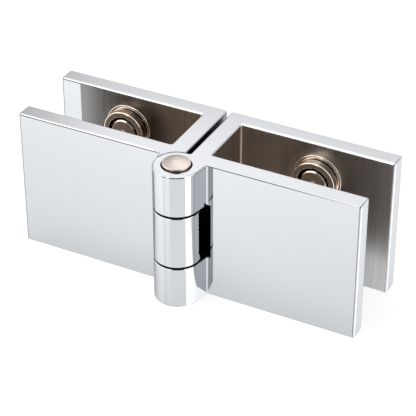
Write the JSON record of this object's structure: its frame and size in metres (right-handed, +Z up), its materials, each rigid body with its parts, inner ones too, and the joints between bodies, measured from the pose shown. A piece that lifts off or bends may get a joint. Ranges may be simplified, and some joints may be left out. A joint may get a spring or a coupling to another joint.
{
  "type": "glass door hinge",
  "caption": "Glass-to-glass folding door hinge: two polished channel leaves on a knuckled barrel, each with screw-driven swivel pads that clamp the pane.",
  "frame": {"origin": "middle of the rectangle that the hinge stands on, opened flat", "axes": "+X along the opened hinge from the left leaf to the right leaf, +Y to the back plates, +Z up along the hinge pin"},
  "size_m": [0.11, 0.0406, 0.0463],
  "materials": {
    "polished_chrome": "mirror polished",
    "satin_nickel": "satin, turned",
    "bright_nickel": "bright, turned",
    "black_nylon": "matt",
    "clear_liner": "matt"
  },
  "bodies": {
    "right_side": {"right_leaf": "polished_chrome", "hinge_pin": "satin_nickel", "pin_end_screw": "satin_nickel", "right_liner": "clear_liner", "right_upper_insert": "bright_nickel", "right_lower_insert": "bright_nickel"},
    "left_side": {"left_leaf": "polished_chrome", "upper_bush": "black_nylon", "lower_bush": "black_nylon", "left_liner": "clear_liner", "left_upper_insert": "bright_nickel", "left_lower_insert": "bright_nickel"},
    "left_upper_pad_body": {"left_upper_pad": "bright_nickel"},
    "left_upper_screw_body": {"left_upper_screw": "bright_nickel"},
    "left_lower_pad_body": {"left_lower_pad": "bright_nickel"},
    "left_lower_screw_body": {"left_lower_screw": "bright_nickel"},
    "right_upper_pad_body": {"right_upper_pad": "bright_nickel"},
    "right_upper_screw_body": {"right_upper_screw": "bright_nickel"},
    "right_lower_pad_body": {"right_lower_pad": "bright_nickel"},
    "right_lower_screw_body": {"right_lower_screw": "bright_nickel"}
  },
  "joints": [
    {"name": "fold", "type": "hinge", "parent": "right_side", "child": "left_side", "pos_m": [0, -0.01335, 0.0225], "axis": [0, 0, 1], "range_deg": [0, 180]},
    {"name": "left_upper_travel", "type": "slide", "parent": "left_side", "child": "left_upper_pad_body", "axis": [0, -1, 0], "range_m": [0, 0.0045]},
    {"name": "left_upper_turn", "type": "hinge", "parent": "left_upper_pad_body", "child": "left_upper_screw_body", "pos_m": [-0.0315, 0.01485, 0.034], "axis": [0, -1, 0], "range_deg": [0, 1296]},
    {"name": "left_lower_travel", "type": "slide", "parent": "left_side", "child": "left_lower_pad_body", "axis": [0, -1, 0], "range_m": [0, 0.0045]},
    {"name": "left_lower_turn", "type": "hinge", "parent": "left_lower_pad_body", "child": "left_lower_screw_body", "pos_m": [-0.0315, 0.01485, 0.011], "axis": [0, -1, 0], "range_deg": [0, 1296]},
    {"name": "right_upper_travel", "type": "slide", "parent": "right_side", "child": "right_upper_pad_body", "axis": [0, -1, 0], "range_m": [0, 0.0045]},
    {"name": "right_upper_turn", "type": "hinge", "parent": "right_upper_pad_body", "child": "right_upper_screw_body", "pos_m": [0.0315, 0.01485, 0.034], "axis": [0, -1, 0], "range_deg": [0, 1296]},
    {"name": "right_lower_travel", "type": "slide", "parent": "right_side", "child": "right_lower_pad_body", "axis": [0, -1, 0], "range_m": [0, 0.0045]},
    {"name": "right_lower_turn", "type": "hinge", "parent": "right_lower_pad_body", "child": "right_lower_screw_body", "pos_m": [0.0315, 0.01485, 0.011], "axis": [0, -1, 0], "range_deg": [0, 1296]}
  ],
  "couplings": [
    {"joint": "left_upper_turn", "follows": "left_upper_travel", "rad_per_m": 5026.5},
    {"joint": "left_lower_turn", "follows": "left_lower_travel", "rad_per_m": 5026.5},
    {"joint": "right_upper_turn", "follows": "right_upper_travel", "rad_per_m": 5026.5},
    {"joint": "right_lower_turn", "follows": "right_lower_travel", "rad_per_m": 5026.5}
  ]
}
